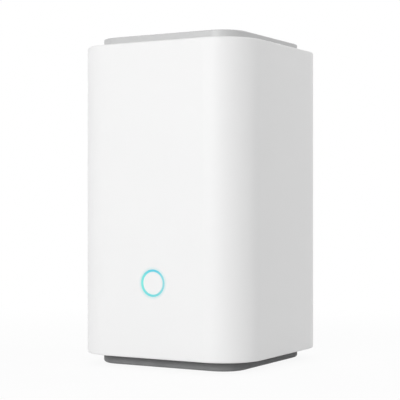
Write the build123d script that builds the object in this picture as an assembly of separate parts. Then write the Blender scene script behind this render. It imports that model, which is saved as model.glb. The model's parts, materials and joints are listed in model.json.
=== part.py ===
"""Base station of a wireless camera set: a rounded-square tower with a ring light and its inner works."""

import os
from math import cos, pi, sin

from build123d import *

# All lengths are in millimetres. The front faces -Y, +X is on the right of someone who looks at the
# front, and the origin is the middle of the footprint on the table.

# Tower
tower_side = 95.0
tower_corner_radius = 20.4
sleeve_height = 151.8
sleeve_wall = 2.4
sleeve_edge_round = 0.8
plate_inset = 8.2
plate_rise = 4.3
band_inset = 8.2
band_height = 5.0
foot_proud = 0.4

# Clearances and one overrun that every cut shares
seam_gap = 0.15
snap_gap = 0.1
press_gap = 0.02
thread_gap = 0.05
slide_gap = 0.08
overrun = 1.0

# Rim of the sleeve and the top cover
rim_thickness = 2.4
rim_ledge_height = 1.2
rim_ledge_width = 1.5
cover_top = 2.0
cover_wall = 3.0
cover_edge_round = 0.5
cover_hook_width = 7.0
cover_hook_thickness = 1.4
cover_hook_drop = 2.2
cover_hook_catch = 0.9
cover_hook_spread = 18.0

# Base cover, its feet and its vents
flange_thickness = 2.4
band_wall = 2.8
band_floor = 2.4
band_edge_round = 1.4
foot_radius = 6.0
foot_seat_depth = 1.0
foot_edge_round = 0.3
foot_inset = 13.3
vent_length = 26.0
vent_width = 1.8
vent_pitch = 5.0
vent_count = 7

# Screws of the sleeve and of the frame
case_screw_head_radius = 1.9
case_screw_head_height = 1.1
case_screw_shank_radius = 1.0
case_screw_length = 9.0
case_boss_radius = 3.4
case_boss_height = 12.0
boss_cap = 1.0
head_gap = 0.2
shank_gap = 0.2
frame_screw_head_radius = 2.4
frame_screw_head_height = 1.8
frame_screw_shank_radius = 1.2
frame_screw_length = 12.0
base_post_radius = 3.8
base_post_height = 6.2
recess_width_share = 0.28
recess_depth_share = 0.5
recess_span_share = 1.3

# Ring light and button on the front
ring_rise = 36.2
ring_outer_radius = 6.5
ring_inner_radius = 5.55
ring_flange_radius = 8.6
ring_flange_thickness = 1.5
ring_tube_radius = 5.95
ring_step_depth = 1.9
button_recess = 0.1
button_edge_round = 0.25
button_lip_radius = 5.85
button_lip_thickness = 0.9
button_stem_radius = 1.6
button_travel = 0.3
travel_margin = 0.2
light_gap = 0.5
baffle_wall = 1.8
baffle_gap = 0.3

# Small board behind the ring
ring_board_depth = 7.5
ring_board_thickness = 1.2
ring_board_width = 36.0
ring_board_height = 19.0
ring_post_spread = 14.0
ring_post_radius = 2.7
ring_screw_head_radius = 1.9
ring_screw_head_height = 1.3
ring_screw_shank_radius = 0.9
ring_screw_length = 5.0
ring_pilot_depth = 6.0
led_count = 8
led_length = 1.6
led_width = 0.8
led_height = 0.6
switch_side = 4.5
switch_height = 2.2
switch_plunger_radius = 1.1
switch_plunger_proud = 1.1
switch_plunger_depth = 1.2
switch_plunger_gap = 0.05
ring_connector_length = 5.0
ring_connector_height = 1.4
ring_connector_width = 8.0
ring_connector_offset = 6.5
flex_width = 6.0
flex_thickness = 0.2
flex_bend_radius = 4.0
main_connector_length = 4.0
main_connector_height = 1.6
main_connector_width = 8.0
main_connector_inset = 0.5

# Inner frame
frame_gap = 10.1
frame_corner_radius = 8.0
frame_floor_thickness = 2.4
frame_wall = 2.0
frame_rib_width = 6.0
frame_boss_radius = 3.8
frame_boss_height = 11.0
deck_gap = 4.0
deck_thickness = 2.0
deck_side_gap = 8.1
deck_front_gap = 9.1
deck_rear_gap = 15.1
deck_speaker_gap = 2.0
deck_slot_width = 7.0
deck_slot_margin = 4.0
deck_slot_offset = 1.8
standoff_radius = 3.0
standoff_height = 4.0

# Main board
board_face_x = 7.0
board_thickness = 1.6
board_front_gap = 13.1
board_floor_gap = 2.6
jack_overhang = 2.6
board_screw_front_inset = 4.0
board_screw_rear_inset = 8.0
board_screw_inset = 4.6
board_screw_head_radius = 1.9
board_screw_head_height = 1.3
board_screw_shank_radius = 0.95
board_screw_length = 5.0
board_pilot_depth = 5.0

# Processor, memory, shield and heat sink
shield_offset = 9.0
shield_depth = 30.0
shield_span = 34.0
shield_wall = 0.3
shield_height = 2.7
lid_thickness = 0.3
lid_skirt = 1.6
processor_side = 15.0
processor_height = 1.5
processor_drop = 12.0
memory_length = 11.0
memory_width = 8.0
memory_height = 1.1
memory_spread = 6.5
memory_rise = 7.5
pad_side = 20.0
pad_thickness = 1.0
sink_overhang = 3.5
sink_base = 2.0
sink_fin_height = 13.0
sink_fin_thickness = 1.1
sink_fin_count = 8
sink_fin_span = 28.0
sink_fin_length = 34.0
sink_post_radius = 2.2
sink_post_inset = 2.2
sink_screw_head_radius = 1.8
sink_screw_head_height = 1.3
sink_screw_shank_radius = 0.9
sink_screw_length = 10.0

# Radio
radio_shield_offset = 5.5
radio_shield_depth = 18.0
radio_shield_rise = 7.0
radio_shield_span = 16.0
radio_shield_height = 2.4
radio_chip_side = 9.0
radio_chip_height = 0.9

# Network jack
lan_rise = 23.0
lan_width = 16.0
lan_height = 13.4
lan_depth = 21.5
lan_shell_wall = 0.4
lan_socket_width = 11.9
lan_socket_height = 7.0
lan_socket_depth = 13.0
lan_socket_offset = 3.4
lan_latch_width = 6.2
lan_latch_height = 1.8
lan_contact_count = 8
lan_contact_pitch = 1.02
lan_contact_width = 0.4
lan_contact_thickness = 0.3
lan_contact_length = 9.0
lan_contact_drop = 1.8
lan_contact_mouth_gap = 2.0
transformer_gap = 1.1
transformer_length = 11.0
transformer_width = 9.0
transformer_height = 5.8

# Supply jack and its filter
dc_rise = 8.5
dc_width = 9.0
dc_height = 11.0
dc_depth = 14.2
dc_axis_height = 6.5
dc_bore_radius = 3.1
dc_bore_depth = 9.5
dc_pin_radius = 1.0
dc_pin_root_radius = 1.4
dc_pin_root_depth = 2.7
dc_pin_setback = 0.7
dc_pin_tip = 0.3
dc_spring_width = 2.4
dc_spring_thickness = 0.3
dc_spring_length = 7.0
dc_spring_groove = 0.6
capacitor_radius = 3.15
capacitor_height = 7.7
capacitor_round = 0.5
capacitor_pitch = 7.5
capacitor_count = 2
capacitor_screw_gap = 7.5
capacitor_rise = 6.0
inductor_side = 7.0
inductor_height = 4.0
inductor_chamfer = 1.0
inductor_rise = 15.0

# Card sockets and the card
card_rise = 39.5
card_pitch = 15.0
card_socket_count = 2
card_width = 11.0
card_length = 15.0
card_thickness = 0.7
card_corner_cut = 1.4
card_play = 0.15
card_proud = 1.6
socket_width = 14.0
socket_depth = 14.6
socket_shell = 0.2
socket_floor = 0.6
socket_stop = 0.5

# Reset switch
reset_card_pitch = 10.0
reset_width = 4.5
reset_depth = 4.0
reset_height = 3.4
reset_setback = 2.0
reset_plunger_radius = 0.8
reset_plunger_proud = 1.4
reset_plunger_depth = 1.5
reset_travel = 0.3

# Rear port panel
jack_setback = 0.3
panel_width = 24.0
panel_rise = 11.1
panel_top_margin = 5.5
panel_corner_radius = 4.0
panel_recess = 0.8
panel_plate = 0.8
panel_ledge = 1.5
panel_spigot = 1.0
panel_hook_width = 6.0
panel_hook_thickness = 1.1
panel_hook_reach = 1.5
panel_hook_catch = 0.8
panel_hook_rows = 3
panel_hook_pitch = 23.0
port_gap = 0.35
pinhole_radius = 0.9
card_slot_gap = 0.5

# Speaker of the siren
speaker_drop = 24.0
speaker_side = 36.0
speaker_corner_radius = 3.0
speaker_flange = 2.0
speaker_screw_inset = 3.0
speaker_can_inset = 3.0
speaker_can_wall = 0.8
speaker_can_depth = 7.0
speaker_seal_depth = 2.5
speaker_seal_width = 2.5
speaker_seal_gap = 2.0
speaker_post_radius = 2.4
speaker_pilot_depth = 3.4
speaker_screw_head_radius = 1.7
speaker_screw_head_height = 1.2
speaker_screw_shank_radius = 0.8
speaker_screw_length = 5.0
yoke_radius = 10.0
yoke_seat = 1.0
yoke_depth = 6.5
yoke_floor = 1.5
coil_gap = 0.35
coil_radius = 5.2
coil_wall = 0.3
coil_length = 5.6
magnet_height = 3.0
pole_height = 1.6
surround_span = 1.2
cone_neck_radius = 5.2
cone_depth = 4.6
cone_thickness = 0.4
cone_setback = 0.6
cone_cap_height = 1.6
surround_gap = 0.3
surround_thickness = 0.4
speaker_hole_radius = 0.9
speaker_hole_pitch = 3.3
speaker_hole_rings = 4

# Antennas and leads
antenna_thickness = 0.8
antenna_length = 34.0
antenna_height = 32.0
antenna_gap = 11.1
clip_length = 6.0
clip_thickness = 1.6
clip_height = 6.0
clip_spread = 12.0
coax_socket_radius = 1.2
coax_socket_height = 1.1
coax_plug_radius = 1.5
coax_plug_height = 1.3
coax_drop = 3.0
coax_offset = 16.0
coax_pitch = 8.0
coax_count = 3
lead_radius = 0.55
lead_bend_radius = 5.0
lead_low_rise = 8.0
lead_high_rise = 11.0
speaker_lead_radius = 0.7
speaker_lead_gap = 5.5
speaker_lead_drop = 16.0
speaker_lead_start_gap = 4.0

# Places that follow from the sizes above
half_side = tower_side / 2
corner_centre = half_side - tower_corner_radius
base_bottom_z = foot_proud
sleeve_bottom_z = base_bottom_z + band_height
sleeve_top_z = sleeve_bottom_z + sleeve_height
tower_top_z = sleeve_top_z + plate_rise
rim_bottom_z = sleeve_top_z - rim_thickness
ledge_top_z = rim_bottom_z + rim_ledge_height
inner_half = half_side - sleeve_wall
inner_radius = tower_corner_radius - sleeve_wall
plate_side = tower_side - 2 * plate_inset
plate_radius = tower_corner_radius - plate_inset
band_side = tower_side - 2 * band_inset
band_radius = tower_corner_radius - band_inset
flange_top_z = sleeve_bottom_z + flange_thickness
floor_top_z = base_bottom_z + band_floor
base_post_top_z = floor_top_z + base_post_height
foot_top_z = base_bottom_z + foot_seat_depth
foot_spread = band_side / 2 - foot_inset
case_screw_spread = corner_centre + (band_radius + inner_radius - seam_gap) / 2 * cos(pi / 4)
frame_screw_seat_z = foot_top_z + frame_screw_head_height + head_gap
frame_floor_top_z = base_post_top_z + frame_floor_thickness
frame_wall_x = board_face_x + board_thickness + standoff_height
speaker_centre_z = sleeve_top_z - speaker_drop
deck_top_z = speaker_centre_z - speaker_side / 2 - deck_speaker_gap
deck_bottom_z = deck_top_z - deck_thickness
board_bottom_z = frame_floor_top_z + board_floor_gap
board_top_z = deck_bottom_z - deck_gap
frame_half = inner_half - frame_gap
front_y = -half_side
front_inner_y = -inner_half
back_y = half_side
back_inner_y = inner_half
ring_board_front_y = front_inner_y + ring_board_depth
ring_board_rear_y = ring_board_front_y + ring_board_thickness
ring_centre_height = sleeve_bottom_z + ring_rise
board_rear_x = board_face_x + board_thickness
panel_outer_y = back_y - panel_recess
panel_step_y = panel_outer_y - panel_plate
panel_inner_y = panel_step_y - panel_spigot
jack_face_y = panel_inner_y - jack_setback
panel_low_z = sleeve_bottom_z + panel_rise
dc_centre_z = panel_low_z + dc_rise
lan_centre_z = panel_low_z + lan_rise
card_centre_z = panel_low_z + card_rise
reset_centre_z = card_centre_z + card_pitch * (card_socket_count - 1) + reset_card_pitch
panel_height = reset_centre_z + panel_top_margin - panel_low_z
panel_centre_z = panel_low_z + panel_height / 2
board_front_y = front_inner_y + board_front_gap
board_rear_y = jack_face_y - jack_overhang
board_screw_front_y = board_front_y + board_screw_front_inset
board_screw_rear_y = frame_half - board_screw_rear_inset
radio_shield_front_y = board_front_y + radio_shield_offset
radio_shield_rear_y = radio_shield_front_y + radio_shield_depth
radio_shield_low_z = board_bottom_z + radio_shield_rise
radio_shield_high_z = radio_shield_low_z + radio_shield_span
shield_front_y = board_front_y + shield_offset
shield_rear_y = shield_front_y + shield_depth
shield_middle_z = (radio_shield_high_z + board_top_z) / 2
shield_low_z = shield_middle_z - shield_span / 2
shield_high_z = shield_middle_z + shield_span / 2
processor_y = (shield_front_y + shield_rear_y) / 2
processor_z = shield_high_z - processor_drop
memory_z = shield_low_z + memory_rise
transformer_rear_y = jack_face_y - lan_depth - transformer_gap
capacitor_rear_y = board_screw_rear_y - capacitor_screw_gap
capacitor_z = board_bottom_z + capacitor_rise
inductor_y = capacitor_rear_y - capacitor_pitch * (capacitor_count - 1) / 2
inductor_z = board_bottom_z + inductor_rise
coax_row_z = board_top_z - coax_drop
coax_first_y = board_front_y + coax_offset
speaker_lead_y = coax_first_y + coax_pitch * (coax_count - 1) + speaker_lead_gap
antenna_reach = inner_half - antenna_gap
lan_axis_x = board_face_x - lan_height / 2
dc_axis_x = board_face_x - dc_axis_height
card_axis_x = board_face_x - socket_floor - card_play - card_thickness / 2
reset_axis_x = board_face_x - reset_height / 2
shield_top_x = board_face_x - shield_height - lid_thickness
sink_low_x = shield_top_x - pad_thickness
speaker_screw_spread = speaker_side / 2 - speaker_screw_inset
speaker_can_radius = speaker_side / 2 - speaker_can_inset
speaker_seal_radius = speaker_screw_spread / cos(pi / 4) - speaker_post_radius - speaker_seal_gap
cone_rim_radius = speaker_can_radius - speaker_can_wall - surround_span
speaker_front_y = back_inner_y - speaker_seal_depth
speaker_flange_y = speaker_front_y - speaker_flange
speaker_can_y = speaker_flange_y - speaker_can_depth

AT_LOW_CORNER = (Align.MIN, Align.MIN, Align.MIN)
FROM_ITS_FOOT = (Align.CENTER, Align.CENTER, Align.MIN)
SIGNS = (-1, 1)
CORNERS = [(sx, sy) for sx in SIGNS for sy in SIGNS]


# Plain shapes

def block(x_low, x_high, y_low, y_high, z_low, z_high):
    """A box between two corners."""
    solid = Box(x_high - x_low, y_high - y_low, z_high - z_low, align=AT_LOW_CORNER)
    return Pos(x_low, y_low, z_low) * solid


def tower_slab(side, radius, z_low, z_high):
    """A rounded square about the Z axis, from one height to another."""
    return Pos(0, 0, z_low) * extrude(RectangleRounded(side, side, radius), z_high - z_low)


def rod_x(radius, y, z, x_low, x_high):
    """A round rod along X."""
    return Pos(x_low, y, z) * Rot(0, 90, 0) * Cylinder(radius, x_high - x_low, align=FROM_ITS_FOOT)


def rod_y(radius, x, z, y_low, y_high):
    """A round rod along Y."""
    return Pos(x, y_low, z) * Rot(-90, 0, 0) * Cylinder(radius, y_high - y_low, align=FROM_ITS_FOOT)


def rod_z(radius, x, y, z_low, z_high):
    """A round rod along Z."""
    return Pos(x, y, z_low) * Cylinder(radius, z_high - z_low, align=FROM_ITS_FOOT)


def wall_slab(width, height, radius, z_centre, y_low, y_high):
    """A rounded rectangle that stands in the XZ plane, about x = 0."""
    outline = extrude(RectangleRounded(width, height, radius), y_high - y_low)
    return Pos(0, y_low, z_centre) * Rot(-90, 0, 0) * outline


def screw(head_radius, head_height, shank_radius, length):
    """A pan screw that stands on its head: shank up +Z from z = 0, head below it, with a cross slot."""
    head = Pos(0, 0, -head_height) * Cylinder(head_radius, head_height, align=FROM_ITS_FOOT)
    shank = Cylinder(shank_radius, length, align=FROM_ITS_FOOT)
    slot_span = head_radius * recess_span_share
    slot_width = head_radius * recess_width_share
    slot_depth = 2 * head_height * recess_depth_share
    slot = Box(slot_span, slot_width, slot_depth) + Box(slot_width, slot_span, slot_depth)
    return head + shank - Pos(0, 0, -head_height) * slot


def tube_along(radius, points, bend_radius):
    """A round lead through the points, with tangent bends."""
    path = FilletPolyline(*points, radius=bend_radius)
    section = Plane(origin=path @ 0, z_dir=path % 0) * Circle(radius)
    return sweep(section, path=path)


# Enclosure

def outer_sleeve():
    """The white tower: a cup with a rim at the top, open below, with bosses inside its walls."""
    body = tower_slab(tower_side, tower_corner_radius, sleeve_bottom_z, sleeve_top_z)
    ends = body.edges().group_by(Axis.Z)
    body = fillet(ends[0] + ends[-1], sleeve_edge_round)
    body -= tower_slab(2 * inner_half, inner_radius, sleeve_bottom_z - overrun, rim_bottom_z)
    opening = plate_side + 2 * seam_gap
    opening_radius = plate_radius + seam_gap
    body -= tower_slab(opening, opening_radius, ledge_top_z, sleeve_top_z + overrun)
    throat = opening - 2 * rim_ledge_width
    body -= tower_slab(throat, opening_radius - rim_ledge_width, rim_bottom_z - overrun, sleeve_top_z)
    for sx, sy in CORNERS:
        x = sx * case_screw_spread
        y = sy * case_screw_spread
        boss_top = flange_top_z + case_boss_height
        mid_wall = sleeve_wall / 2
        corner = tower_slab(2 * (inner_half + mid_wall), inner_radius + mid_wall, flange_top_z, boss_top)
        body += rod_z(case_boss_radius, x, y, flange_top_z, boss_top) & corner
        pilot = case_screw_shank_radius + thread_gap
        body -= rod_z(pilot, x, y, flange_top_z - overrun, boss_top - boss_cap)
    ring_hole = ring_outer_radius + snap_gap
    body -= rod_y(ring_hole, 0, ring_centre_height, front_y - overrun, front_inner_y + overrun)
    for sx in SIGNS:
        x = sx * ring_post_spread
        post_root = front_inner_y - sleeve_wall / 2
        body += rod_y(ring_post_radius, x, ring_centre_height, post_root, ring_board_front_y)
        pilot = ring_screw_shank_radius + thread_gap
        pilot_end = ring_board_front_y - ring_pilot_depth
        body -= rod_y(pilot, x, ring_centre_height, pilot_end, ring_board_front_y + overrun)
    body -= panel_space()
    return speaker_wall(body)


def panel_space():
    """The stepped window for the rear port panel."""
    width = panel_width + 2 * seam_gap
    height = panel_height + 2 * seam_gap
    radius = panel_corner_radius + seam_gap
    outer = wall_slab(width, height, radius, panel_centre_z, panel_step_y, back_y + overrun)
    throat_width = width - 2 * panel_ledge
    throat_height = height - 2 * panel_ledge
    throat_radius = radius - panel_ledge
    inner_low = back_inner_y - overrun
    return outer + wall_slab(throat_width, throat_height, throat_radius, panel_centre_z, inner_low, back_y)


def speaker_wall(body):
    """Sound holes in the rear wall and the four posts that carry the speaker."""
    post_root = back_inner_y + sleeve_wall / 2
    for sx, sz in CORNERS:
        x = sx * speaker_screw_spread
        z = speaker_centre_z + sz * speaker_screw_spread
        body += rod_y(speaker_post_radius, x, z, speaker_front_y, post_root)
        pilot = speaker_screw_shank_radius + thread_gap
        body -= rod_y(pilot, x, z, speaker_front_y - overrun, speaker_front_y + speaker_pilot_depth)
    for x, z in sound_hole_places():
        body -= rod_y(speaker_hole_radius, x, z, back_inner_y - overrun, back_y + overrun)
    return body


def sound_hole_places():
    """Rings of holes about the speaker's axis, six more in each ring than in the one inside it."""
    places = [(0, speaker_centre_z)]
    for ring in range(1, speaker_hole_rings):
        count = 6 * ring
        for step in range(count):
            angle = 2 * pi * step / count
            reach = ring * speaker_hole_pitch
            places.append((reach * cos(angle), speaker_centre_z + reach * sin(angle)))
    return places


def top_cover():
    """The light grey plate that stands on the rim's ledge and snaps under it with eight hooks."""
    cover = tower_slab(plate_side, plate_radius, ledge_top_z, tower_top_z)
    cover = fillet(cover.edges().group_by(Axis.Z)[-1], cover_edge_round)
    hollow_side = plate_side - 2 * cover_wall
    hollow_radius = plate_radius - cover_wall
    cover -= tower_slab(hollow_side, hollow_radius, ledge_top_z - overrun, tower_top_z - cover_top)
    hook_face = plate_side / 2 + seam_gap - rim_ledge_width - snap_gap
    hook_foot = rim_bottom_z - cover_hook_drop
    hook_half = cover_hook_width / 2
    for along in (-cover_hook_spread, cover_hook_spread):
        for turn in range(4):
            arm = block(hook_face - cover_hook_thickness, hook_face, along - hook_half, along + hook_half,
                        hook_foot, ledge_top_z + overrun)
            barb_face = hook_face + cover_hook_catch
            barb = block(hook_face - cover_hook_thickness, barb_face, along - hook_half, along + hook_half,
                         hook_foot, rim_bottom_z - snap_gap)
            lead_in = barb.edges().filter_by(Axis.Y).sort_by(Axis.X)[-2:].sort_by(Axis.Z)[0]
            barb = chamfer(lead_in, cover_hook_catch - snap_gap)
            cover += Rot(0, 0, 90 * turn) * (arm + barb)
    return cover


def base_cover():
    """The dark base: a flange inside the sleeve's open end and the inset band that stands on the feet."""
    flange_side = 2 * inner_half - 2 * seam_gap
    cover = tower_slab(flange_side, inner_radius - seam_gap, sleeve_bottom_z, flange_top_z)
    band = tower_slab(band_side, band_radius, base_bottom_z, flange_top_z)
    band = fillet(band.edges().group_by(Axis.Z)[0], band_edge_round)
    cover += band
    hollow_side = band_side - 2 * band_wall
    cover -= tower_slab(hollow_side, band_radius - band_wall, floor_top_z, flange_top_z + overrun)
    for sx, sy in CORNERS:
        x = sx * foot_spread
        y = sy * foot_spread
        cover += rod_z(base_post_radius, x, y, foot_top_z, base_post_top_z)
        cover -= rod_z(foot_radius + snap_gap, x, y, base_bottom_z - overrun, foot_top_z)
        head_hole = frame_screw_head_radius + head_gap
        cover -= rod_z(head_hole, x, y, base_bottom_z, frame_screw_seat_z)
        cover -= rod_z(frame_screw_shank_radius + shank_gap, x, y, foot_top_z, base_post_top_z + overrun)
        x = sx * case_screw_spread
        y = sy * case_screw_spread
        head_top = sleeve_bottom_z + case_screw_head_height + thread_gap
        cover -= rod_z(case_screw_head_radius + head_gap, x, y, sleeve_bottom_z - overrun, head_top)
        cover -= rod_z(case_screw_shank_radius + shank_gap, x, y, sleeve_bottom_z, flange_top_z + overrun)
    for row in range(vent_count):
        y = (row - (vent_count - 1) / 2) * vent_pitch
        slot = extrude(SlotOverall(vent_length, vent_width), band_floor + 2 * overrun)
        cover -= Pos(0, y, base_bottom_z - overrun) * slot
    return cover


def rubber_feet():
    """Four round feet that sit in seats under the band and cover the frame's screws."""
    foot = Cylinder(foot_radius, foot_top_z, align=FROM_ITS_FOOT)
    foot = fillet(foot.edges().group_by(Axis.Z)[0], foot_edge_round)
    return [Pos(sx * foot_spread, sy * foot_spread, 0) * foot for sx, sy in CORNERS]


def case_screws():
    """Four screws that hold the sleeve down on the base's flange."""
    one = screw(case_screw_head_radius, case_screw_head_height, case_screw_shank_radius, case_screw_length)
    seat = sleeve_bottom_z + case_screw_head_height + thread_gap
    return [Pos(sx * case_screw_spread, sy * case_screw_spread, seat) * one for sx, sy in CORNERS]


def port_panel():
    """The rear panel: a plate on the window's ledge, a spigot through it and hooks behind the wall."""
    plate = wall_slab(panel_width, panel_height, panel_corner_radius, panel_centre_z,
                      panel_step_y, panel_outer_y)
    spigot_width = panel_width - 2 * panel_ledge
    spigot_height = panel_height - 2 * panel_ledge
    spigot_radius = panel_corner_radius - panel_ledge
    panel = plate + wall_slab(spigot_width, spigot_height, spigot_radius, panel_centre_z,
                              panel_inner_y, panel_step_y + panel_plate / 2)
    hook_end = back_inner_y - panel_hook_reach
    for side in SIGNS:
        for row in range(panel_hook_rows):
            z = panel_centre_z + (row - (panel_hook_rows - 1) / 2) * panel_hook_pitch
            z_low = z - panel_hook_width / 2
            z_high = z + panel_hook_width / 2
            face = spigot_width / 2
            root = face - panel_hook_thickness
            barb = face + panel_hook_catch
            arm_x = sorted((side * root, side * face))
            barb_x = sorted((side * root, side * barb))
            panel += block(*arm_x, hook_end, panel_inner_y + panel_spigot / 2, z_low, z_high)
            panel += block(*barb_x, hook_end, back_inner_y - snap_gap, z_low, z_high)
    return panel - port_holes()


def port_holes():
    """The panel's holes, each in line with the jack, socket or switch behind it."""
    y_low = panel_inner_y - overrun
    y_high = panel_outer_y + overrun
    latch_x = lan_axis_x - lan_socket_offset - lan_latch_height
    lan_half = lan_socket_width / 2 + port_gap
    ceiling_x = lan_axis_x - lan_socket_offset + lan_socket_height
    holes = block(latch_x - port_gap, ceiling_x + port_gap, y_low, y_high,
                  lan_centre_z - lan_half, lan_centre_z + lan_half)
    holes += rod_y(dc_bore_radius + port_gap, dc_axis_x, dc_centre_z, y_low, y_high)
    slot_half_width = card_width / 2 + card_slot_gap
    slot_half_height = card_thickness / 2 + card_slot_gap
    for row in range(card_socket_count):
        z = card_centre_z + row * card_pitch
        holes += block(card_axis_x - slot_half_height, card_axis_x + slot_half_height, y_low, y_high,
                       z - slot_half_width, z + slot_half_width)
    holes += rod_y(pinhole_radius, reset_axis_x, reset_centre_z, y_low, y_high)
    return holes


# Ring light and button

def ring_profile(y_low, y_high, outer, inner):
    """A round tube along Y about the ring's axis."""
    return (rod_y(outer, 0, ring_centre_height, y_low, y_high)
            - rod_y(inner, 0, ring_centre_height, y_low - overrun, y_high + overrun))


def light_ring():
    """The clear ring: flush with the front, flanged behind the wall, with a light pipe to the lamps."""
    step_y = front_y + ring_step_depth
    flange_rear_y = front_inner_y + ring_flange_thickness
    pipe_end_y = ring_board_front_y - led_height - light_gap
    ring = ring_profile(front_y, step_y, ring_outer_radius, ring_inner_radius)
    ring += ring_profile(step_y, pipe_end_y, ring_outer_radius, ring_tube_radius)
    return ring + ring_profile(front_inner_y, flange_rear_y, ring_flange_radius, ring_tube_radius)


def front_button():
    """The round button: a disc in the ring, a lip that keeps it in, and a stem to the switch."""
    face_y = front_y + button_recess
    lip_y = front_y + ring_step_depth + snap_gap / 2
    disc_end = lip_y + button_lip_thickness / 2
    disc = rod_y(ring_inner_radius - slide_gap, 0, ring_centre_height, face_y, disc_end)
    disc = fillet(disc.edges().group_by(Axis.Y)[0], button_edge_round)
    lip = rod_y(button_lip_radius, 0, ring_centre_height, lip_y, lip_y + button_lip_thickness)
    stem_end = plunger_tip_y() - switch_plunger_gap
    stem = rod_y(button_stem_radius, 0, ring_centre_height, lip_y, stem_end)
    return disc + lip + stem


def plunger_tip_y():
    """Where the tip of the front switch's plunger stands at rest."""
    return ring_board_front_y - switch_height - switch_plunger_proud


def light_baffle():
    """The dark tube round the light pipe that keeps light off the inside of the sleeve."""
    start_y = front_inner_y + ring_flange_thickness
    inner = ring_outer_radius + baffle_gap
    return ring_profile(start_y, ring_board_front_y, inner + baffle_wall, inner)


def ring_board():
    """The small board that carries the lamps and the switch."""
    half_width = ring_board_width / 2
    half_height = ring_board_height / 2
    board = block(-half_width, half_width, ring_board_front_y, ring_board_rear_y,
                  ring_centre_height - half_height, ring_centre_height + half_height)
    hole = ring_screw_shank_radius + shank_gap
    for sx in SIGNS:
        board -= rod_y(hole, sx * ring_post_spread, ring_centre_height,
                       ring_board_front_y - overrun, ring_board_rear_y + overrun)
    return board


def ring_leds():
    """Lamps in a circle under the end of the light pipe."""
    reach = (ring_outer_radius + ring_tube_radius) / 2
    lamp = Box(led_length, led_height, led_width, align=(Align.CENTER, Align.MAX, Align.CENTER))
    lamps = []
    for step in range(led_count):
        place = Pos(0, ring_board_front_y, ring_centre_height) * Rot(0, 360 * step / led_count, 0)
        lamps.append(place * Pos(0, 0, reach) * lamp)
    return lamps


def button_switch_body():
    """The body of the tactile switch, with the well that guides its plunger."""
    half = switch_side / 2
    face_y = ring_board_front_y - switch_height
    low_z = ring_centre_height - half
    body = block(-half, half, face_y, ring_board_front_y, low_z, low_z + switch_side)
    well = switch_plunger_radius + slide_gap
    well_end = face_y + switch_plunger_depth + button_travel + travel_margin
    return body - rod_y(well, 0, ring_centre_height, face_y - overrun, well_end)


def button_switch_plunger():
    """The switch's plunger, pressed by the button's stem."""
    face_y = ring_board_front_y - switch_height
    return rod_y(switch_plunger_radius, 0, ring_centre_height, plunger_tip_y(), face_y + switch_plunger_depth)


def ring_board_screws():
    """Two screws through the small board into the sleeve's posts."""
    one = screw(ring_screw_head_radius, ring_screw_head_height, ring_screw_shank_radius,
                ring_screw_length + ring_board_thickness)
    lay = Rot(90, 0, 0)
    return [Pos(sx * ring_post_spread, ring_board_rear_y, ring_centre_height) * lay * one for sx in SIGNS]


def ring_board_connector():
    """The flat-cable connector on the rear of the small board."""
    x_high = -ring_connector_offset + ring_connector_length / 2
    half = ring_connector_width / 2
    return block(x_high - ring_connector_length, x_high, ring_board_rear_y,
                 ring_board_rear_y + ring_connector_height,
                 ring_centre_height - half, ring_centre_height + half)


def main_flex_connector():
    """The connector at the front edge of the main board that takes the flat cable's other end."""
    y_low = board_front_y + main_connector_inset
    half = main_connector_width / 2
    return block(board_face_x - main_connector_height, board_face_x, y_low, y_low + main_connector_length,
                 ring_centre_height - half, ring_centre_height + half)


def ring_flex_cable():
    """The flat cable between the two connectors, bent once."""
    start_x = -ring_connector_offset + ring_connector_length / 2
    start_y = ring_board_rear_y + ring_connector_height / 2
    turn_x = board_face_x - main_connector_height / 2
    end_y = board_front_y + main_connector_inset
    points = [(start_x, start_y, ring_centre_height), (turn_x, start_y, ring_centre_height),
              (turn_x, end_y, ring_centre_height)]
    path = FilletPolyline(*points, radius=flex_bend_radius)
    section = Plane(origin=path @ 0, x_dir=(0, 0, 1), z_dir=path % 0) * Rectangle(flex_width, flex_thickness)
    return sweep(section, path=path)


# Frame and main board

def board_screw_places():
    """The four screw places of the main board, as (y, z)."""
    rows = (board_bottom_z + board_screw_inset, board_top_z - board_screw_inset)
    return [(y, z) for y in (board_screw_front_y, board_screw_rear_y) for z in rows]


def inner_frame():
    """The skeleton: a floor on the base's posts, a ribbed wall behind the board and the antenna deck."""
    floor = tower_slab(2 * frame_half, frame_corner_radius, base_post_top_z, frame_floor_top_z)
    wall = block(frame_wall_x, frame_wall_x + frame_wall, -frame_half, frame_half,
                 base_post_top_z, deck_top_z)
    frame = floor + wall
    rib_x = frame_wall_x + frame_wall / 2
    for y in (-frame_half, frame_half - frame_wall):
        frame += block(rib_x, frame_wall_x + frame_wall + frame_rib_width, y, y + frame_wall,
                       base_post_top_z, deck_top_z)
    frame += antenna_deck()
    for y, z in board_screw_places():
        frame += rod_x(standoff_radius, y, z, board_rear_x, frame_wall_x + frame_wall / 2)
        pilot = board_screw_shank_radius + thread_gap
        frame -= rod_x(pilot, y, z, board_rear_x - overrun, board_rear_x + board_pilot_depth)
    for sx, sy in CORNERS:
        x = sx * foot_spread
        y = sy * foot_spread
        boss_top = base_post_top_z + frame_boss_height
        frame += rod_z(frame_boss_radius, x, y, base_post_top_z, boss_top)
        pilot = frame_screw_shank_radius + thread_gap
        frame -= rod_z(pilot, x, y, base_post_top_z - overrun, boss_top - boss_cap)
    return frame


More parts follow.
